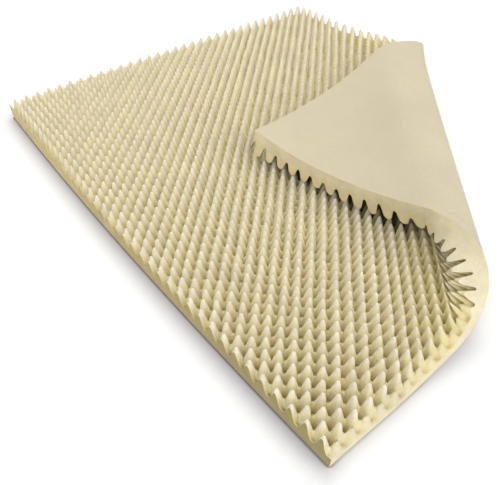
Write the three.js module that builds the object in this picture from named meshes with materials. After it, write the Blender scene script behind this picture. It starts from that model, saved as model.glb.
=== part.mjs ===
// Foam mattress topper: one sheet of cream foam, smooth below and cut into a field of
// tall peaks above. It lies flat, and one corner is curled over on top of the sheet.
// Sizes in mm, Z up, X along the long side, Y along the short side.
import * as THREE from "three";

// The sheet, as cut, before the corner is curled.
const LENGTH = 1892;
const WIDTH = 1637.5;
const FRONT_SKEW = 21.5; // the front side is cut this much closer in at its near end
const SIDE_BULGE = 21; // outward bow of the front side at its middle
const BULGE_REACH = 2390; // the bow fades to nothing at this depth across the sheet

// The peaks stand in rows half a pitch apart, and every other row is set off by half a pitch.
const ROW = 25;
const ROWS_X = 76;
const ROWS_Y = 65;
const FIRST_X = 7.5;
const FIRST_Y = 25;
const PEAK = 99; // height of the tips
const PIT = 20; // foam left under the pits
const PEAK_SHARPNESS = 1.1;
const FRONT_RIM = 28; // height of the low rim outside the first row of the front side

// Cut side of the near end, by its place across the sheet: height of the low line between the
// peaks, and what the cut peaks add to it.
const RIM_WIDTH = 24;
const NEAR_RIM = [
  { at: 20, low: 44, tooth: 0 },
  { at: 80, low: 28, tooth: 0 },
  { at: 590, low: 26, tooth: 0 },
  { at: 660, low: 29, tooth: 40 },
  { at: 750, low: 41, tooth: 48 },
  { at: 850, low: 57, tooth: 36 },
  { at: 950, low: 77, tooth: 17 },
  { at: 1050, low: 57, tooth: 38 },
  { at: 1130, low: 40, tooth: 54 },
  { at: 1300, low: 54, tooth: 41 },
  { at: 1450, low: 50, tooth: 45 },
  { at: 1640, low: 40, tooth: 55 },
];

// The curl of the corner. It starts this far from the corner point, measured square to the
// curl's axis. Where the turned corner lies low, its peaks are pressed short, clear of the tips
// below them.
const CURL_REACH = 1045;
const CURL_ANGLE = THREE.MathUtils.degToRad(40.9);
const TIP_CLEARANCE = 3;
const CURL_ARCS = [
  { part: "lift", turn: 20.9, radius: 494 },
  { part: "roll", turn: 181.7, radius: 117.5 },
  { part: "settle", turn: -34.05, radius: 772 },
];
// From its near end to its far end the roll gets wider and lower, and it flares at the far edge.
const NEAR_END = 700;
const AXIS_SPAN = 1600;
const FAR_SPREAD = 90.6;
const FAR_DROP = 0.141;
const FAR_FLARE = 0.4;
const FLARE_POWER = 8;

// The smooth underside has fewer facets: steps of three rows where it curls, one step before.
const UNDER_STEP = 3;
const UNDER_START_X = 12;
const UNDER_START_Y = 10;

const FOAM = new THREE.MeshStandardMaterial({ name: "cream_foam", color: 0xdccfae, roughness: 0.95 });

const smooth = (t) => THREE.MathUtils.smoothstep(t, 0, 1);

// Lines of the sheet across X and Y: the two cut sides and every row of peaks and pits.
function rowLines(first, count, end) {
  const rows = Array.from({ length: count }, (_, i) => first + ROW * i);
  return [0, ...rows, end];
}

// Place of the front cut side at a point along the sheet.
const frontCut = (x) => FRONT_SKEW * (x / LENGTH);

// Share of the full peak height: 0 in the pits, 1 at the tips.
function peakShare(x, y) {
  const wave = Math.cos(Math.PI * (x - FIRST_X) / ROW) * Math.cos(Math.PI * (y - FIRST_Y) / ROW);
  return Math.max(0, (1 + wave) / 2);
}

// Height of the near end's cut side.
function nearRim(y) {
  const next = Math.max(1, NEAR_RIM.findIndex((stop) => stop.at > y));
  const [from, to] = [NEAR_RIM[next - 1], NEAR_RIM[next]];
  const part = THREE.MathUtils.clamp((y - from.at) / (to.at - from.at), 0, 1);
  const low = THREE.MathUtils.lerp(from.low, to.low, part);
  const tooth = THREE.MathUtils.lerp(from.tooth, to.tooth, part);
  return low + tooth * peakShare(FIRST_X + ROW * (ROWS_X - 1), y);
}

// Height of the upper face over the flat sheet.
function upperHeight(x, y) {
  const free = PIT + (PEAK - PIT) * Math.pow(peakShare(x, y), PEAK_SHARPNESS);
  const field = THREE.MathUtils.lerp(FRONT_RIM, free, smooth(y / FIRST_Y));
  return THREE.MathUtils.lerp(nearRim(y), field, smooth((LENGTH - x) / RIM_WIDTH));
}

// Point of the curl's section at a run along the sheet: place, height and slope.
function curlSection(run) {
  let place = Math.min(run, 0);
  let height = 0;
  let slope = 0;
  let left = Math.max(run, 0);
  for (const arc of CURL_ARCS) {
    const turn = THREE.MathUtils.degToRad(arc.turn);
    const bend = Math.sign(turn) * arc.radius;
    const part = Math.min(left / (Math.abs(turn) * arc.radius), 1);
    const next = slope + turn * part;
    place += bend * (Math.sin(next) - Math.sin(slope));
    height += bend * (Math.cos(slope) - Math.cos(next));
    left -= Math.abs(turn) * arc.radius * part;
    slope = next;
  }
  return { place: place + left * Math.cos(slope), height: height + left * Math.sin(slope), slope };
}

// Share of their height that peaks keep where the smooth face has this level and slope.
function pressed(level, slope) {
  const downward = -Math.cos(slope);
  if (downward <= 0) {
    return 1;
  }
  const room = (level - PEAK - TIP_CLEARANCE) / downward;
  return Math.min(1, (room - PIT) / (PEAK - PIT));
}

// Place in space of a point of the sheet that lies a given height over the smooth face.
function bent(x, y, rise) {
  const across = 2 * x / LENGTH - 1;
  const bowed = y - SIDE_BULGE * (1 - across * across) * (1 - y / BULGE_REACH);
  const sin = Math.sin(CURL_ANGLE);
  const cos = Math.cos(CURL_ANGLE);
  const run = (x - LENGTH) * sin + (bowed - WIDTH) * cos + CURL_REACH;
  const along = (x - LENGTH) * cos - (bowed - WIDTH) * sin;
  const { place, height, slope } = curlSection(run);
  const upto = Math.min(Math.max(slope, 0), Math.PI);
  const far = (NEAR_END - along) / AXIS_SPAN;
  const flare = FAR_FLARE * Math.max(far, 0) ** FLARE_POWER;
  const level = height * (1 - FAR_DROP * (far - flare) * Math.sin(upto / 2) ** 2);
  const lift = rise > PIT ? PIT + (rise - PIT) * pressed(level, slope) : rise;
  const out = place + FAR_SPREAD * (far + flare) * Math.sin(upto) - lift * Math.sin(slope);
  const up = level + lift * Math.cos(slope);
  return new THREE.Vector3(
    LENGTH + (out - CURL_REACH) * sin + along * cos,
    WIDTH + (out - CURL_REACH) * cos - along * sin,
    up,
  );
}

// Numbers of the lines kept on the underside.
function underLines(count, start) {
  const kept = [0];
  for (let i = start; i < count - 2; i += UNDER_STEP) {
    kept.push(i);
  }
  return [...kept, count - 1];
}

function foamSheet() {
  const xs = rowLines(FIRST_X, ROWS_X, LENGTH);
  const ys = rowLines(FIRST_Y, ROWS_Y, WIDTH);
  const lastX = xs.length - 1;
  const lastY = ys.length - 1;
  const points = [];
  const faces = [];
  const add = (point) => points.push(point) - 1;

  const plan = (i, j) => (j === 0 ? [xs[i], frontCut(xs[i])] : [xs[i], ys[j]]);
  const upper = xs.map((_, i) => ys.map((__, j) => {
    const [x, y] = plan(i, j);
    return add(bent(x, y, upperHeight(x, y)));
  }));
  const lower = new Map();
  const under = (i, j) => {
    const key = i * ys.length + j;
    if (!lower.has(key)) {
      lower.set(key, add(bent(...plan(i, j), 0)));
    }
    return lower.get(key);
  };

  // Upper face: each square is parted from pit to pit, so that every peak has four flanks.
  for (let i = 0; i < lastX; i += 1) {
    for (let j = 0; j < lastY; j += 1) {
      const [a, b, c, d] = [upper[i][j], upper[i + 1][j], upper[i + 1][j + 1], upper[i][j + 1]];
      if ((i + j) % 2 === 0) {
        faces.push([a, b, d], [b, c, d]);
      } else {
        faces.push([a, b, c], [a, c, d]);
      }
    }
  }

  // Underside: each square is parted along the curl's axis.
  const keptX = underLines(xs.length, UNDER_START_X);
  const keptY = underLines(ys.length, UNDER_START_Y);
  for (let m = 0; m + 1 < keptX.length; m += 1) {
    for (let n = 0; n + 1 < keptY.length; n += 1) {
      const a = under(keptX[m], keptY[n]);
      const b = under(keptX[m + 1], keptY[n]);
      const c = under(keptX[m + 1], keptY[n + 1]);
      const d = under(keptX[m], keptY[n + 1]);
      faces.push([a, d, b], [b, d, c]);
    }
  }

  // Cut sides: a strip from each kept stretch of the lower edge to the rows above it.
  const wall = (kept, top, low, outward) => {
    const face = (p, q, r) => faces.push(outward ? [p, q, r] : [p, r, q]);
    for (let m = 0; m + 1 < kept.length; m += 1) {
      const middle = Math.floor((kept[m] + kept[m + 1]) / 2);
      for (let k = kept[m]; k < kept[m + 1]; k += 1) {
        face(low(k < middle ? kept[m] : kept[m + 1]), top(k + 1), top(k));
      }
      face(low(kept[m]), low(kept[m + 1]), top(middle));
    }
  };
  wall(keptX, (k) => upper[k][0], (k) => under(k, 0), true);
  wall(keptX, (k) => upper[k][lastY], (k) => under(k, lastY), false);
  wall(keptY, (k) => upper[0][k], (k) => under(0, k), false);
  wall(keptY, (k) => upper[lastX][k], (k) => under(lastX, k), true);

  const geometry = new THREE.BufferGeometry();
  geometry.setFromPoints(points);
  geometry.setIndex(faces.flat());
  geometry.computeBoundingBox();
  const { min, max } = geometry.boundingBox;
  geometry.translate(-(min.x + max.x) / 2, -(min.y + max.y) / 2, -min.z);
  geometry.computeVertexNormals();
  return geometry;
}

const topper = new THREE.Mesh(foamSheet(), FOAM);
topper.name = "foam_sheet";

const part = new THREE.Group();
part.name = "mattress_topper";
part.add(topper);

export default part;
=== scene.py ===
"""A foam mattress topper that lies flat, with one corner curled over on its field of peaks.

Sizes are in metres, with Z up, X along the long side and Y along the short side. The near end is
the one at high X, and the front side is the one at low Y.
"""

import logging
import math
from dataclasses import dataclass, field
from enum import Enum, IntEnum

import bmesh
import bpy
from mathutils import Matrix, Vector, noise

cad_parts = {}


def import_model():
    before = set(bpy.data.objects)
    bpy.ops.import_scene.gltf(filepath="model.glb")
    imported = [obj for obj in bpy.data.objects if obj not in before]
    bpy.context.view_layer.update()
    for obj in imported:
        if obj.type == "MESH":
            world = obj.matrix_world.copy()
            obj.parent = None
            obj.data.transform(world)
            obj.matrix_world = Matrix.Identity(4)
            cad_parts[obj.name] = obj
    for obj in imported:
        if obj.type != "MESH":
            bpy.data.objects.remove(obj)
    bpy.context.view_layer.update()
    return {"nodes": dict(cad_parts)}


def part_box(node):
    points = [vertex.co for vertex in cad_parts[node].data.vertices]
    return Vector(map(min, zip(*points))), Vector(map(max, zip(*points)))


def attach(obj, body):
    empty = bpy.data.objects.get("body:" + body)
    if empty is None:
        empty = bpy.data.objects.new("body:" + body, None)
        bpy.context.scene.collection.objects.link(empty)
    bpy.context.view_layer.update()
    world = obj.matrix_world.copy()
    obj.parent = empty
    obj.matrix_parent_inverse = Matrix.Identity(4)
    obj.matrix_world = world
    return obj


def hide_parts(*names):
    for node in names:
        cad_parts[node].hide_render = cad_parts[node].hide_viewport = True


log = logging.getLogger("topper")

Colour = tuple[float, float, float]
Point = tuple[float, float, float]
Span = tuple[float, float]
Socket = bpy.types.NodeSocket

NODE = "foam_sheet"
PIECE = "foam_topper"
BODY = "root"

NO_TINT: Colour = (1.0, 1.0, 1.0)
# Place of the painted warmth inside the roll, which stands for light bounced between the foam's
# faces, on the scale of painted shade, from 0 in the open to 1 in the dark.
ROLL_WARMTH_AT = 0.2

# Before the sheet is shaped, its mesh points stand at the numbers of their lines, with the lower
# face at level 0 and the upper face at this level.
UPPER_LEVEL = 1.0
HALF_STEP = 0.5
WELD_STEP = 0.01


class Zone(IntEnum):
    """The kinds of face of the foam, in the order of the material slots."""

    UPPER = 0
    CUT = 1
    FRONT = 2
    UNDER = 3


class Mark(Enum):
    """Names of the values that the mesh keeps at its points for its finishes."""

    # Share of the peak height that sets the painted shade of the pits.
    RISE = "rise"
    # Share of painted shade under the turned corner, with painted warmth inside the roll.
    SHELTER = "shelter"


def smooth(t: float) -> float:
    """Ease from 0 to 1 with level ends."""
    t = min(max(t, 0.0), 1.0)
    return t * t * (3.0 - 2.0 * t)


def eased(value: float, span: Span) -> float:
    """Ease from 0 to 1 while a value crosses a span."""
    return smooth((value - span[0]) / (span[1] - span[0]))


def between(a: float, b: float, t: float) -> float:
    """Point at share t of the way from a to b."""
    return a + (b - a) * t


@dataclass(frozen=True)
class Arc:
    """One arc of the curl's section; a positive turn bends the sheet upwards."""

    turn_deg: float
    radius: float

    @property
    def turn(self) -> float:
        """Turn in radians."""
        return math.radians(self.turn_deg)

    @property
    def run(self) -> float:
        """Length of sheet in the arc."""
        return abs(self.turn) * self.radius


@dataclass(frozen=True)
class Spot:
    """A point of the curl's section: place across the axis, height and slope."""

    place: float
    height: float
    slope: float


@dataclass(frozen=True)
class Hem:
    """A short piece of the turned corner's edge, seen from above."""

    place: Vector
    inward: Vector

    def depth(self, spot: Vector) -> float:
        """How far a point lies inside the edge."""
        return (spot - self.place).dot(self.inward)


@dataclass(frozen=True)
class PeakField:
    """Peaks in rows half a pitch apart, every other row set off by half a pitch."""

    row: float = 0.025
    rows_x: int = 76
    rows_y: int = 65
    first_x: float = 0.0075
    first_y: float = 0.025
    tip: float = 0.099
    pit: float = 0.011
    # Form of a peak: how soft its crests and saddles are, how steep its flanks, how blunt its tip.
    crest: float = 2.0
    flank: float = 1.5
    blunt: float = 6.0
    # How far the peaks stray from their rows, over which distance, and how their heights vary.
    stray: float = 0.0016
    stray_reach: float = 0.070
    stray_shift: Point = (7.3, 2.9, 5.1)
    uneven: float = 0.0022
    uneven_layer: float = 0.4
    uneven_middle: float = 0.4

    @property
    def last_x(self) -> float:
        """Place of the row by the near end."""
        return self.first_x + self.row * (self.rows_x - 1)

    def share(self, x: float, y: float) -> float:
        """Share of the full peak height at a point of the sheet.

        Args:
            x: Place along the sheet.
            y: Place across the sheet.

        Returns:
            0 at the bottom of a pit and 1 at the tip of a peak.
        """
        spot = Vector((x, y, 0.0)) / self.stray_reach
        x += self.stray * noise.noise(spot)
        y += self.stray * noise.noise(spot + Vector(self.stray_shift))
        along = (x - self.first_x) / self.row
        across = (y - self.first_y) / self.row
        fall = [abs(math.sin(math.pi * lane / 2.0)) ** self.crest
                for lane in (along + across, along - across)]
        cone = max(0.0, 1.0 - sum(fall) / 2.0) ** self.flank
        return (cone * self.blunt - cone ** self.blunt) / (self.blunt - 1.0)

    def height(self, x: float, y: float) -> float:
        """Find the height of the upper face over the smooth face, away from the rim.

        Args:
            x: Place along the sheet.
            y: Place across the sheet.

        Returns:
            The height, a little uneven from peak to peak.
        """
        share = self.share(x, y)
        odd = noise.noise(Vector((x, y, self.uneven_layer)) / self.row) - self.uneven_middle
        return self.pit + (self.tip - self.pit) * share + self.uneven * share * odd


@dataclass(frozen=True)
class CornerCurl:
    """The curl that turns one corner of the sheet over, about an axis oblique to the sides."""

    corner_x: float
    corner_y: float
    peaks: PeakField
    reach: float = 1.045
    angle: float = math.radians(40.9)
    arcs: tuple[Arc, ...] = (Arc(20.9, 0.494), Arc(181.7, 0.1175), Arc(-34.05, 0.772))
    tip_clearance: float = 0.003
    # From its near end to its far end the roll gets wider and lower, and flares at the far edge.
    near_end: float = 0.700
    axis_span: float = 1.600
    far_spread: float = 0.0906
    far_drop: float = 0.141
    far_flare: float = 0.4
    flare_power: float = 8.0

    def section(self, run: float) -> Spot:
        """Find the point of the section at a run of sheet past the start of the curl.

        Args:
            run: Length of sheet from the start of the curl, below 0 on the flat.

        Returns:
            The point of the smooth face there.
        """
        place, height, slope = min(run, 0.0), 0.0, 0.0
        left = max(run, 0.0)
        for arc in self.arcs:
            share = min(left / arc.run, 1.0)
            bend = math.copysign(arc.radius, arc.turn)
            onward = slope + arc.turn * share
            place += bend * (math.sin(onward) - math.sin(slope))
            height += bend * (math.cos(slope) - math.cos(onward))
            left -= arc.run * share
            slope = onward
        return Spot(place + left * math.cos(slope), height + left * math.sin(slope), slope)

    def run_at(self, x: float, y: float) -> float:
        """Length of sheet from the start of the curl to a point of the sheet."""
        back_x, back_y = x - self.corner_x, y - self.corner_y
        return back_x * math.sin(self.angle) + back_y * math.cos(self.angle) + self.reach

    def pressed(self, rise: float, level: float, slope: float) -> float:
        """Press a peak short where the turned corner lies low over the tips below it.

        Args:
            rise: Height over the smooth face of the unpressed peak.
            level: Level of the smooth face there.
            slope: Slope of the smooth face there.

        Returns:
            The height that is left.
        """
        downward = -math.cos(slope)
        if downward <= 0.0 or rise <= self.peaks.pit:
            return rise
        room = (level - self.peaks.tip - self.tip_clearance) / downward
        share = (room - self.peaks.pit) / (self.peaks.tip - self.peaks.pit)
        return between(self.peaks.pit, rise, min(1.0, share))

    def bend(self, x: float, y: float, rise: float) -> Vector:
        """Place a point of the sheet in space.

        Args:
            x: Place along the flat sheet.
            y: Place across the flat sheet.
            rise: Height over the smooth face.

        Returns:
            The point on the curled sheet.
        """
        sin, cos = math.sin(self.angle), math.cos(self.angle)
        along = (x - self.corner_x) * cos - (y - self.corner_y) * sin
        spot = self.section(self.run_at(x, y))
        upto = min(max(spot.slope, 0.0), math.pi)
        far = (self.near_end - along) / self.axis_span
        flare = self.far_flare * max(far, 0.0) ** self.flare_power
        level = spot.height * (1.0 - self.far_drop * (far - flare) * math.sin(upto / 2.0) ** 2)
        lift = self.pressed(rise, level, spot.slope)
        spread = self.far_spread * (far + flare) * math.sin(upto)
        out = spot.place + spread - lift * math.sin(spot.slope)
        up = level + lift * math.cos(spot.slope)
        across = out - self.reach
        return Vector((self.corner_x + across * sin + along * cos,
                       self.corner_y + across * cos - along * sin,
                       up))


@dataclass
class NodeBench:
    """A new material, and the kinds of node that its look is put together from."""

    name: str
    material: bpy.types.Material = field(init=False)
    shader: bpy.types.Node = field(init=False)

    def __post_init__(self) -> None:
        """Start with a plain material."""
        self.material = bpy.data.materials.new(self.name)
        self.material.use_nodes = True
        self.shader = self.material.node_tree.nodes["Principled BSDF"]

    def add(self, kind: str) -> bpy.types.Node:
        """Add a node."""
        return self.material.node_tree.nodes.new(kind)

    def link(self, source: Socket, target: Socket) -> None:
        """Link one socket to another."""
        self.material.node_tree.links.new(source, target)

    def place(self) -> Socket:
        """Places in the object's own frame."""
        return self.add("ShaderNodeTexCoord").outputs["Object"]

    def coordinate(self, place: Socket, axis: str) -> Socket:
        """Take one coordinate of a place.

        Args:
            place: The place.
            axis: X, Y or Z.

        Returns:
            The coordinate.
        """
        node = self.add("ShaderNodeSeparateXYZ")
        self.link(place, node.inputs["Vector"])
        return node.outputs[axis]

    def mark(self, mark: Mark) -> Socket:
        """Read a value that the mesh keeps at its points.

        Args:
            mark: The value's name.

        Returns:
            The value.
        """
        node = self.add("ShaderNodeAttribute")
        node.attribute_name = mark.value
        return node.outputs["Fac"]

    def noise(self, place: Socket, scale: float, detail: float, roughness: float = 0.5) -> Socket:
        """Make a cloudy pattern.

        Args:
            place: Where the pattern is read.
            scale: How fine it is.
            detail: How many finer layers it has.
            roughness: How strong the finer layers are.

        Returns:
            The pattern's value, about 0.5 on the whole.
        """
        node = self.add("ShaderNodeTexNoise")
        node.inputs["Scale"].default_value = scale
        node.inputs["Detail"].default_value = detail
        node.inputs["Roughness"].default_value = roughness
        self.link(place, node.inputs["Vector"])
        return node.outputs["Fac"]

    def carried(self, value: Socket, source: Span, target: Span) -> Socket:
        """Carry a value from one span over to another, and stop at its ends.

        Args:
            value: The value.
            source: The span that it lies in.
            target: The span that it is carried to.

        Returns:
            The value in the new span.
        """
        node = self.add("ShaderNodeMapRange")
        bounds = zip(("From Min", "From Max", "To Min", "To Max"), (*source, *target))
        for name, bound in bounds:
            node.inputs[name].default_value = bound
        self.link(value, node.inputs["Value"])
        return node.outputs["Result"]

    def joined(self, operation: str, first: Socket | float, second: Socket) -> Socket:
        """Join two values.

        Args:
            operation: What is done with them.
            first: One value, or a constant.
            second: The other value.

        Returns:
            The result.
        """
        node = self.add("ShaderNodeMath")
        node.operation = operation
        if isinstance(first, float):
            node.inputs[0].default_value = first
        else:
            self.link(first, node.inputs[0])
        self.link(second, node.inputs[1])
        return node.outputs["Value"]

    def tinted(self, colour: Socket, tint: Socket) -> Socket:
        """Multiply a colour by another.

        Args:
            colour: The colour.
            tint: The colour to multiply it by.

        Returns:
            The tinted colour.
        """
        node = self.add("ShaderNodeVectorMath")
        node.operation = "MULTIPLY"
        self.link(colour, node.inputs[0])
        self.link(tint, node.inputs[1])
        return node.outputs["Vector"]

    def dimmed(self, colour: Socket, share: Socket) -> Socket:
        """Dim a colour.

        Args:
            colour: The colour.
            share: Share of it that is left.

        Returns:
            The dimmed colour.
        """
        node = self.add("ShaderNodeVectorMath")
        node.operation = "SCALE"
        self.link(colour, node.inputs[0])
        self.link(share, node.inputs["Scale"])
        return node.outputs["Vector"]

    def ramp(self, value: Socket, low: Colour, high: Colour,
             midway: tuple[float, Colour] | None = None, blend: str = "LINEAR") -> Socket:
        """Turn a value from 0 to 1 into a colour.

        Args:
            value: The value.
            low: Colour at 0.
            high: Colour at 1.
            midway: A value on the way, and the colour there.
            blend: How the colours run into each other.

        Returns:
            The colour.
        """
        node = self.add("ShaderNodeValToRGB")
        node.color_ramp.interpolation = blend
        stops = node.color_ramp.elements
        stops[0].color = (*low, 1.0)
        stops[1].color = (*high, 1.0)
        if midway is not None:
            at, colour = midway
            stops.new(at).color = (*colour, 1.0)
        self.link(value, node.inputs["Fac"])
        return node.outputs["Color"]


@dataclass(frozen=True)
class FoamFinish:
    """Open-cell foam: a mottled cream with fine cells, with painted shade that deepens its tone in
    the pits and where it is sheltered.
    """

    name: str
    # Tones from the tips down to the pits, deepening as painted shade into the pits, and the share
    # of the height at which the middle lies.
    pale: Colour
    middle: Colour
    deep: Colour
    cell: float
    cell_depth: float
    middle_at: float = 0.45
    # Tints of painted shade deep under the turned corner and of painted warmth inside the roll.
    painted_shade_tint: Colour = NO_TINT
    painted_roll_warmth: Colour = NO_TINT
    # Share of the tone that is lost to painted shade towards the near end, and where along X it is
    # lost.
    painted_near_shade: float = 0.0
    dim_span: Span = (-0.5, 0.9)
    mottle: float = 0.16
    mottle_size: float = 0.060
    mottle_detail: float = 4.0
    mottle_roughness: float = 0.62
    mottle_span: Span = (0.25, 0.75)
    mottle_lift: float = 0.4
    crumb_scale: float = 0.35
    crumb_detail: float = 3.0
    pore_span: Span = (0.4, 1.3)
    pore_tones: Span = (0.90, 1.05)
    bump: float = 0.6
    roughness: float = 0.92
    specular: float = 0.12
    sheen: float = 0.06
    sheen_roughness: float = 0.6
    scatter: float = 0.12
    scatter_radius: Colour = (0.012, 0.009, 0.005)

    def grain(self, bench: NodeBench, where: Socket) -> Socket:
        """Make the relief of the cells and of coarser crumbs.

        Args:
            bench: The material's nodes.
            where: Place on the foam.

        Returns:
            The relief, for both the tone and the bump.
        """
        cells = bench.add("ShaderNodeTexVoronoi")
        cells.inputs["Scale"].default_value = 1.0 / self.cell
        bench.link(where, cells.inputs["Vector"])
        crumb = bench.noise(where, self.crumb_scale / self.cell, self.crumb_detail)
        return bench.joined("ADD", cells.outputs["Distance"], crumb)

    def colour(self, bench: NodeBench, where: Socket, grain: Socket) -> Socket:
        """Make the foam's colour: painted shade from its height and its shelter, then its mottling
        and its pores.

        Args:
            bench: The material's nodes.
            where: Place on the foam.
            grain: Relief of its cells.

        Returns:
            The colour.
        """
        # Painted shade: the tone deepens from the tips into the pits.
        tone = bench.ramp(bench.mark(Mark.RISE), self.deep, self.pale,
                          (self.middle_at, self.middle), "EASE")
        # Painted shade under the turned corner, and painted warmth inside the roll.
        shade_tint = bench.ramp(bench.mark(Mark.SHELTER), NO_TINT, self.painted_shade_tint,
                           (ROLL_WARMTH_AT, self.painted_roll_warmth))
        cloud = bench.noise(where, 1.0 / self.mottle_size, self.mottle_detail,
                            self.mottle_roughness)
        mottled = bench.carried(cloud, self.mottle_span,
                                (1.0 - self.mottle, 1.0 + self.mottle * self.mottle_lift))
        pores = bench.carried(grain, self.pore_span, self.pore_tones)
        # Painted shade that darkens the tone towards the near end.
        near_shade_share = bench.carried(bench.coordinate(where, "X"), self.dim_span,
                               (1.0, 1.0 - self.painted_near_shade))
        share = bench.joined("MULTIPLY", bench.joined("MULTIPLY", mottled, pores), near_shade_share)
        return bench.dimmed(bench.tinted(tone, shade_tint), share)

    def make(self) -> bpy.types.Material:
        """Make the material.

        Returns:
            The new material, with its colour, cells and softness in nodes.
        """
        bench = NodeBench(self.name)
        surface = bench.shader.inputs
        surface["Roughness"].default_value = self.roughness
        surface["Specular IOR Level"].default_value = self.specular
        surface["Subsurface Weight"].default_value = self.scatter
        surface["Subsurface Radius"].default_value = self.scatter_radius
        surface["Subsurface Scale"].default_value = 1.0
        surface["Sheen Weight"].default_value = self.sheen
        surface["Sheen Roughness"].default_value = self.sheen_roughness

        where = bench.place()
        grain = self.grain(bench, where)
        bench.link(self.colour(bench, where, grain), surface["Base Color"])
        bump = bench.add("ShaderNodeBump")
        bump.inputs["Strength"].default_value = self.bump
        bump.inputs["Distance"].default_value = self.cell_depth
        bench.link(grain, bump.inputs["Height"])
        bench.link(bump.outputs["Normal"], surface["Normal"])
        return bench.material


# The deep tones paint shade in the pits; the dark tint paints the shade under the turned corner
# and the warm one the light bounced inside the roll.
UPPER_FOAM = FoamFinish("upper_foam", pale=(0.82, 0.75, 0.60), middle=(0.76, 0.68, 0.43),
                        deep=(0.72, 0.63, 0.31), cell=0.0016, cell_depth=0.0005,
                        painted_shade_tint=(0.25, 0.23, 0.20), painted_roll_warmth=(1.0, 0.975, 0.84))
# The yellower tint paints shade on the cut side of the turned corner.
CUT_FOAM = FoamFinish("cut_foam", pale=(0.83, 0.75, 0.57), middle=(0.82, 0.73, 0.52),
                      deep=(0.81, 0.72, 0.49), cell=0.0022, cell_depth=0.0007,
                      painted_shade_tint=(0.96, 0.90, 0.66))
# A darker, yellower copy of the cut foam that paints the shade on the front side, deepening
# towards the near end.
SHADED_FRONT_FOAM = FoamFinish("shaded_front_foam", pale=(0.55, 0.44, 0.17), middle=(0.64, 0.51, 0.20),
                        deep=(0.72, 0.62, 0.36), cell=0.0022, cell_depth=0.0007, painted_near_shade=0.42)
UNDER_FOAM = FoamFinish("smooth_foam", pale=(0.62, 0.545, 0.395), middle=(0.61, 0.535, 0.385),
                        deep=(0.60, 0.525, 0.375), cell=0.0020, cell_depth=0.0003, mottle=0.07,
                        mottle_size=0.220)
FINISHES: dict[Zone, FoamFinish] = {
    Zone.UPPER: UPPER_FOAM, Zone.CUT: CUT_FOAM, Zone.FRONT: SHADED_FRONT_FOAM, Zone.UNDER: UNDER_FOAM,
}


@dataclass(frozen=True)
class RimStop:
    """The near end's cut side at one place: its low line, and what the cut peaks add."""

    at: float
    low: float
    tooth: float


NEAR_RIM: tuple[RimStop, ...] = (
    RimStop(0.020, low=0.044, tooth=0.000),
    RimStop(0.080, low=0.028, tooth=0.000),
    RimStop(0.590, low=0.026, tooth=0.000),
    RimStop(0.660, low=0.029, tooth=0.040),
    RimStop(0.750, low=0.041, tooth=0.048),
    RimStop(0.850, low=0.057, tooth=0.036),
    RimStop(0.950, low=0.077, tooth=0.017),
    RimStop(1.050, low=0.057, tooth=0.038),
    RimStop(1.130, low=0.040, tooth=0.054),
    RimStop(1.300, low=0.054, tooth=0.041),
    RimStop(1.450, low=0.050, tooth=0.045),
    RimStop(1.640, low=0.040, tooth=0.055),
)


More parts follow.
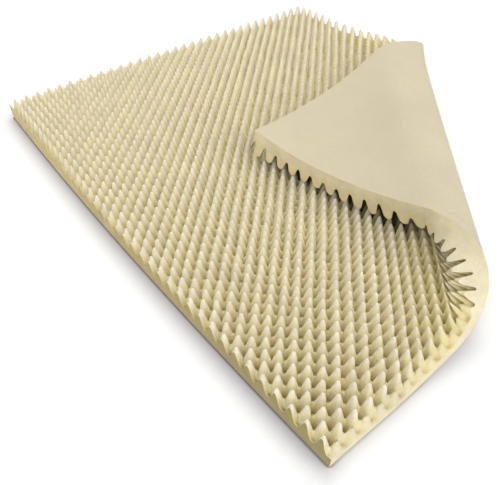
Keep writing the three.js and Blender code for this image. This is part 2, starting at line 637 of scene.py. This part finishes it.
@dataclass
class FoamTopper:
    """The one foam sheet: peaks above, cut sides, smooth below, and its curled corner."""

    length: float = 1.892
    width: float = 1.6375
    front_skew: float = 0.0215
    side_bulge: float = 0.021
    bulge_reach: float = 2.390
    # The front side: its low rim, and the foam that is left standing just behind its cut.
    front_rim: float = 0.028
    front_low: float = 0.036
    front_tooth: float = 0.042
    front_width: float = 0.022
    # The far end, where the last rows are lower.
    back_share: float = 0.81
    back_width: float = 0.100
    # The near end: its cut side, its ledge and the slots between its cut peaks.
    rim_width: float = 0.024
    ledge_width: float = 0.060
    # The near end's ledge is kept pale, out of the painted shade of the pits.
    ledge_pale: float = 0.60
    slot_power: float = 3.0
    # Painted shade under the turned corner, from its edges inwards and by the run of sheet, and
    # painted warmth inside the roll.
    hem_pieces: int = 24
    hem_start: float = 0.55
    shelter_reach: float = 0.032
    shelter_start: float = 0.044
    warmth_run: Span = (0.00, 0.20)
    shelter_run: Span = (0.08, 0.20)
    shelter_end_x: float = 0.57
    turned_run: Span = (0.45, 0.57)
    # Mesh steps in a row and in a border, and where in a row its first line past a tip lies.
    row_steps: int = 4
    border_steps: int = 2
    tip_crowding: float = 0.20
    peaks: PeakField = field(default_factory=PeakField)
    curl: CornerCurl = field(init=False)

    def __post_init__(self) -> None:
        """Set the curl at the sheet's corner."""
        self.curl = CornerCurl(self.length, self.width, self.peaks)

    @property
    def steps_x(self) -> int:
        """Number of mesh steps along the sheet."""
        return (self.peaks.rows_x - 1) * self.row_steps + 2 * self.border_steps

    @property
    def steps_y(self) -> int:
        """Number of mesh steps across the sheet."""
        return (self.peaks.rows_y - 1) * self.row_steps + 2 * self.border_steps

    def line(self, step: float, rows: int, first: float, low: float, high: float) -> float:
        """Find the place of a mesh line. The lines lie closer together at the tips and pits.

        Args:
            step: Number of the line.
            rows: Number of rows of peaks and pits.
            first: Place of the first row.
            low: Place of the cut side before the first row.
            high: Place of the cut side after the last row.

        Returns:
            The place of the line.
        """
        last = first + self.peaks.row * (rows - 1)
        inner = step - self.border_steps
        most = (rows - 1) * self.row_steps
        if inner <= 0:
            return between(low, first, step / self.border_steps)
        if inner >= most:
            return between(last, high, (inner - most) / self.border_steps)
        row, part = divmod(inner / self.row_steps, 1.0)
        crowd = 1.0 / self.row_steps - self.tip_crowding
        part -= crowd * math.sin(2.0 * math.pi * part)
        return first + self.peaks.row * (row + part)

    def flat_place(self, i: float, j: float) -> tuple[float, float]:
        """Place on the flat sheet of a crossing of two mesh lines.

        Args:
            i: Number of the line along the sheet.
            j: Number of the line across it.

        Returns:
            The x and y of the crossing, before the sheet is bowed.
        """
        x = self.line(i, self.peaks.rows_x, self.peaks.first_x, 0.0, self.length)
        y = self.line(j, self.peaks.rows_y, self.peaks.first_y, self.front_cut(x), self.width)
        return x, y

    def front_cut(self, x: float) -> float:
        """Place of the front cut side at a place along the sheet."""
        return self.front_skew * x / self.length

    def bowed(self, x: float, y: float) -> float:
        """Place across the sheet once its front side is bowed outwards."""
        across = 2.0 * x / self.length - 1.0
        return y - self.side_bulge * (1.0 - across * across) * (1.0 - y / self.bulge_reach)

    def near_rim(self, y: float) -> float:
        """Find the height of the near end's cut side.

        Args:
            y: Place across the sheet.

        Returns:
            The height, with narrow slots between the cut peaks.
        """
        stop = next(k for k, rim in enumerate(NEAR_RIM[1:]) if rim.at >= y)
        low, high = NEAR_RIM[stop], NEAR_RIM[stop + 1]
        part = max(0.0, (y - low.at) / (high.at - low.at))
        slot = (1.0 - self.peaks.share(self.peaks.last_x, y)) ** self.slot_power
        tooth = between(low.tooth, high.tooth, part) * (1.0 - slot)
        return between(low.low, high.low, part) + tooth

    def front_side(self, x: float, y: float) -> float:
        """Find the height of the foam that is left standing behind the front cut side.

        Args:
            x: Place along the sheet.
            y: Place across the sheet.

        Returns:
            The height, which falls to 0 away from the cut.
        """
        cut = self.front_low + self.front_tooth * self.peaks.share(x, self.peaks.first_y)
        return cut * (1.0 - smooth((y - self.front_cut(x)) / self.front_width))

    def upper_height(self, x: float, y: float) -> float:
        """Find the height of the upper face, which sinks to low rims by the cut sides.

        Args:
            x: Place along the sheet.
            y: Place across the sheet.

        Returns:
            The height over the smooth face.
        """
        free = between(self.front_rim, self.peaks.height(x, y), smooth(y / self.peaks.first_y))
        free = max(free, self.front_side(x, y))
        free *= between(self.back_share, 1.0, smooth(x / self.back_width))
        return between(self.near_rim(y), free, smooth((self.length - x) / self.rim_width))

    def paleness(self, x: float, rise: float) -> float:
        """Place a point in the foam's tones, whose painted shade deepens into the pits: pale at
        the tips and on the near end's ledge.

        Args:
            x: Place along the sheet.
            rise: Height over the smooth face.

        Returns:
            0 for the deepest tone and 1 for the palest.
        """
        share = (rise - self.peaks.pit) / (self.peaks.tip - self.peaks.pit)
        ledge = 1.0 - smooth((self.length - x) / self.ledge_width)
        return max(share, self.ledge_pale * ledge)

    def hems(self) -> list[list[Hem]]:
        """Cut the turned corner's edges into short pieces.

        Returns:
            The pieces of the near edge and those of the far edge.
        """
        edges: list[list[Hem]] = [[], []]
        inner_x, inner_y = self.length - self.shelter_reach, self.width - self.shelter_reach
        for piece in range(self.hem_pieces + 1):
            part = between(self.hem_start, 1.0, piece / self.hem_pieces)
            x, y = self.length * part, self.width * part
            pairs = (((self.length, y), (inner_x, y)), ((x, self.width), (x, inner_y)))
            for edge, (outer, inner) in zip(edges, pairs):
                place, toward = (self.curl.bend(*spot, 0.0).xy for spot in (outer, inner))
                edge.append(Hem(place, (toward - place).normalized()))
        return edges

    def sheltered(self, run: float, spot: Vector, edges: list[list[Hem]]) -> float:
        """Place a point on the scale of painted shade, which stands for shelter from the light.

        Args:
            run: Length of sheet from the start of the curl to the point.
            spot: The point, seen from above.
            edges: The turned corner's two edges.

        Returns:
            0 in the open, the painted warmth's place inside the roll and 1 for full painted shade
            deep under the turned corner.
        """
        # Painted warmth inside the roll stands for light bounced between the foam's faces.
        warmth = ROLL_WARMTH_AT * eased(run, self.warmth_run)
        if run > self.turned_run[0]:
            return max(warmth, eased(run, self.turned_run))
        if spot.x < self.shelter_end_x:
            return warmth
        nearest = (min(edge, key=lambda hem: (hem.place - spot).length_squared) for edge in edges)
        depth = min(hem.depth(spot) for hem in nearest)
        level = 1.0 - eased(run, self.shelter_run)
        return max(warmth, level * smooth((depth - self.shelter_start) / self.shelter_reach))

    def order_faces(self, bm: bmesh.types.BMesh) -> None:
        """Put the upper grid's faces and then the cut sides' in rows, the same each run.

        Args:
            bm: The upper grid and its cut sides, in steps of the lines.
        """
        along, across = self.steps_x + 1, self.steps_y + 1
        order = Vector((1.0, 2.0 * along, -4.0 * along * across))
        bm.faces.sort(key=lambda face: order.dot(face.calc_center_median()))

    def weave_grids(self, bm: bmesh.types.BMesh) -> None:
        """Join a fine upper grid, cut sides and a coarser lower grid, in steps of the lines.

        Args:
            bm: The empty mesh to fill.
        """
        nx, ny = self.steps_x, self.steps_y
        middle = Matrix.Translation((nx / 2.0, ny / 2.0, 0.0))
        spread = Matrix.Diagonal((nx / 2.0, ny / 2.0, 1.0, 1.0))
        raised = Matrix.Translation((0.0, 0.0, UPPER_LEVEL))
        bmesh.ops.create_grid(bm, x_segments=nx, y_segments=ny, size=1.0,
                              matrix=raised @ middle @ spread)
        upper_rim = [edge for edge in bm.edges if edge.is_boundary]
        skirt = bmesh.ops.extrude_edge_only(bm, edges=upper_rim)["geom"]
        for item in skirt:
            if isinstance(item, bmesh.types.BMVert):
                item.co.z = 0.0
            elif isinstance(item, bmesh.types.BMFace):
                front = all(vert.co.y < HALF_STEP for vert in item.verts)
                item.material_index = Zone.FRONT if front else Zone.CUT
        self.order_faces(bm)
        lower = bmesh.ops.create_grid(bm, x_segments=nx // self.row_steps,
                                      y_segments=ny // self.row_steps, size=1.0,
                                      matrix=middle @ spread)["verts"]
        # Each face and edge is taken once, in an order that is the same each run.
        faces = dict.fromkeys(face for vert in lower for face in vert.link_faces)
        for face in faces:
            face.material_index = Zone.UNDER
        lower_rim = dict.fromkeys(edge for face in faces for edge in face.edges
                                  if edge.is_boundary)
        bmesh.ops.subdivide_edges(bm, edges=list(lower_rim), cuts=self.row_steps - 1)
        bmesh.ops.remove_doubles(bm, verts=bm.verts, dist=WELD_STEP)
        bmesh.ops.recalc_face_normals(bm, faces=bm.faces)

    def shape(self, bm: bmesh.types.BMesh) -> None:
        """Raise the peaks and curl the corner.

        Args:
            bm: The joined grids, with their points in steps of the lines.
        """
        rise_mark = bm.verts.layers.float.new(Mark.RISE.value)
        shelter_mark = bm.verts.layers.float.new(Mark.SHELTER.value)
        edges = self.hems()
        for vert in bm.verts:
            x, y = self.flat_place(vert.co.x, vert.co.y)
            bowed_y = self.bowed(x, y)
            upper = vert.co.z > UPPER_LEVEL / 2.0
            rise = self.upper_height(x, y) if upper else 0.0
            vert.co = self.curl.bend(x, bowed_y, rise)
            if upper:
                # Height share for the painted shade of the pits.
                vert[rise_mark] = self.paleness(x, rise)
                run = self.curl.run_at(x, bowed_y)
                # Painted shade under the turned corner, and painted warmth inside the roll.
                vert[shelter_mark] = self.sheltered(run, vert.co.xy, edges)

    def build(self) -> bpy.types.Object:
        """Model the sheet in the box of its solid.

        Returns:
            The new object.
        """
        bm = bmesh.new()
        self.weave_grids(bm)
        self.shape(bm)
        low = Vector([min(vert.co[axis] for vert in bm.verts) for axis in range(3)])
        bmesh.ops.translate(bm, verts=bm.verts, vec=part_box(NODE)[0] - low)
        for face in bm.faces:
            face.smooth = True
        for edge in bm.edges:
            edge.smooth = len({face.material_index for face in edge.link_faces}) == 1
        mesh = bpy.data.meshes.new(PIECE)
        bm.to_mesh(mesh)
        bm.free()
        sheet = bpy.data.objects.new(PIECE, mesh)
        bpy.context.scene.collection.objects.link(sheet)
        return sheet

    def dress(self, sheet: bpy.types.Object) -> None:
        """Give the sheet its finishes and tie it to the frame.

        Args:
            sheet: The modelled sheet.
        """
        for zone in Zone:
            sheet.data.materials.append(FINISHES[zone].make())
        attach(sheet, BODY)
        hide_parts(NODE)


@dataclass(frozen=True)
class FloorFinish:
    """Pale floor with a painted shadow by the foot of the foam, deepest in front of the front
    side.
    """

    name: str = "pale_floor"
    tone: float = 0.88
    shadow_tone: Colour = (0.47, 0.45, 0.51)
    shadow_reach: float = 0.085
    shadow_span: Span = (0.40, 0.97)
    shadow_depth: float = 1.0
    foot_reach: float = 0.012
    foot_span: Span = (0.50, 0.85)
    foot_depth: float = 0.75
    # Where along Y the front begins, and the share of the darkness that the other sides have.
    front_span: Span = (-0.78, -0.83)
    side_share: float = 0.45
    roughness: float = 0.9
    specular: float = 0.1

    def darkness(self, bench: NodeBench, ahead: Socket, reach: float, span: Span,
                 depth: float) -> Socket:
        """Find how deep the painted shadow of nearby foam is on the floor.

        Args:
            bench: The material's nodes.
            ahead: Share of the darkness by the side of the foam.
            reach: How far the foam darkens the floor.
            span: Openness of the floor where the darkness is full and where it ends.
            depth: The full darkness.

        Returns:
            The darkness.
        """
        nearness = bench.add("ShaderNodeAmbientOcclusion")
        nearness.inputs["Distance"].default_value = reach
        dark = bench.carried(nearness.outputs["AO"], span, (depth, 0.0))
        return bench.joined("MULTIPLY", dark, ahead)

    def make(self) -> bpy.types.Material:
        """Make the material.

        Returns:
            The new material.
        """
        bench = NodeBench(self.name)
        ahead = bench.carried(bench.coordinate(bench.place(), "Y"), self.front_span,
                              (self.side_share, 1.0))
        shadow = self.darkness(bench, ahead, self.shadow_reach, self.shadow_span,
                               self.shadow_depth)
        foot = self.darkness(bench, ahead, self.foot_reach, self.foot_span, self.foot_depth)
        # Painted shadow: a soft lavender shadow near the foam, and a dark line at its foot.
        tone = bench.ramp(shadow, (self.tone, self.tone, self.tone), self.shadow_tone)
        colour = bench.dimmed(tone, bench.joined("SUBTRACT", 1.0, foot))
        surface = bench.shader.inputs
        bench.link(colour, surface["Base Color"])
        surface["Roughness"].default_value = self.roughness
        surface["Specular IOR Level"].default_value = self.specular
        return bench.material


@dataclass(frozen=True)
class SoftLight:
    """Broad, even studio light from one side, with its angles in degrees."""

    name: str
    azimuth: float
    elevation: float
    spread: float
    strength: float

    def build(self) -> None:
        """Make the light and turn it to the topper."""
        data = bpy.data.lights.new(self.name, "SUN")
        data.angle = math.radians(self.spread)
        data.energy = self.strength
        light = bpy.data.objects.new(self.name, data)
        azimuth, elevation = math.radians(self.azimuth), math.radians(self.elevation)
        source = Vector((math.cos(elevation) * math.cos(azimuth),
                         math.cos(elevation) * math.sin(azimuth),
                         math.sin(elevation)))
        light.rotation_euler = source.to_track_quat("Z", "Y").to_euler()
        bpy.context.scene.collection.objects.link(light)


@dataclass
class Studio:
    """A white floor, soft light and the camera at the photograph's viewpoint."""

    floor_side: float = 40.0
    floor_gap: float = 0.0006
    floor_finish: FloorFinish = FloorFinish()
    sky_tone: Colour = (1.0, 1.0, 1.0)
    sky_strength: float = 0.25
    camera_place: Point = (1.1867, -1.2442, 1.1930)
    camera_aim: Point = (-0.54919, 0.43390, -0.71423)
    camera_sight: float = 100.0
    focal_pixels: float = 512.9
    frame_pixels: float = 497.0
    lights: tuple[SoftLight, ...] = (
        SoftLight("back", azimuth=140.0, elevation=48.0, spread=40.0, strength=1.24),
        SoftLight("right", azimuth=15.0, elevation=36.0, spread=60.0, strength=1.28),
        SoftLight("front", azimuth=305.0, elevation=50.0, spread=60.0, strength=1.42),
        SoftLight("left", azimuth=232.0, elevation=48.0, spread=60.0, strength=0.34),
    )

    def build(self) -> None:
        """Make the floor, the sky, the lights and the camera."""
        self.lay_floor()
        self.light_sky()
        for light in self.lights:
            light.build()
        self.set_camera()
        bpy.context.scene.view_settings.view_transform = "Standard"

    def lay_floor(self) -> None:
        """Lay the pale floor just under the topper."""
        bm = bmesh.new()
        bmesh.ops.create_grid(bm, x_segments=2, y_segments=2, size=self.floor_side / 2.0,
                              matrix=Matrix.Translation((0.0, 0.0, -self.floor_gap)))
        mesh = bpy.data.meshes.new("floor")
        bm.to_mesh(mesh)
        bm.free()
        mesh.materials.append(self.floor_finish.make())
        floor = bpy.data.objects.new("floor", mesh)
        bpy.context.scene.collection.objects.link(floor)

    def light_sky(self) -> None:
        """Light the scene evenly from all round."""
        world = bpy.data.worlds.new("studio")
        world.use_nodes = True
        sky = world.node_tree.nodes["Background"]
        sky.inputs["Color"].default_value = (*self.sky_tone, 1.0)
        sky.inputs["Strength"].default_value = self.sky_strength
        bpy.context.scene.world = world

    def set_camera(self) -> None:
        """Set the camera where the photograph was taken from."""
        data = bpy.data.cameras.new("camera")
        data.sensor_fit = "HORIZONTAL"
        data.lens = data.sensor_width * self.focal_pixels / self.frame_pixels
        data.clip_end = self.camera_sight
        camera = bpy.data.objects.new("camera", data)
        camera.location = self.camera_place
        camera.rotation_euler = Vector(self.camera_aim).to_track_quat("-Z", "Y").to_euler()
        bpy.context.scene.collection.objects.link(camera)
        bpy.context.scene.camera = camera


def main() -> None:
    """Build the topper and the studio, and log the frame's nodes and the sheet's triangles."""
    logging.basicConfig(level=logging.INFO, format="%(name)s: %(message)s")
    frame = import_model()
    log.info("frame with %d node(s)", len(frame["nodes"]))
    Studio().build()
    topper = FoamTopper()
    sheet = topper.build()
    topper.dress(sheet)
    sheet.data.calc_loop_triangles()
    log.info("%s: %d triangles", sheet.name, len(sheet.data.loop_triangles))


if __name__ == "__main__":
    main()
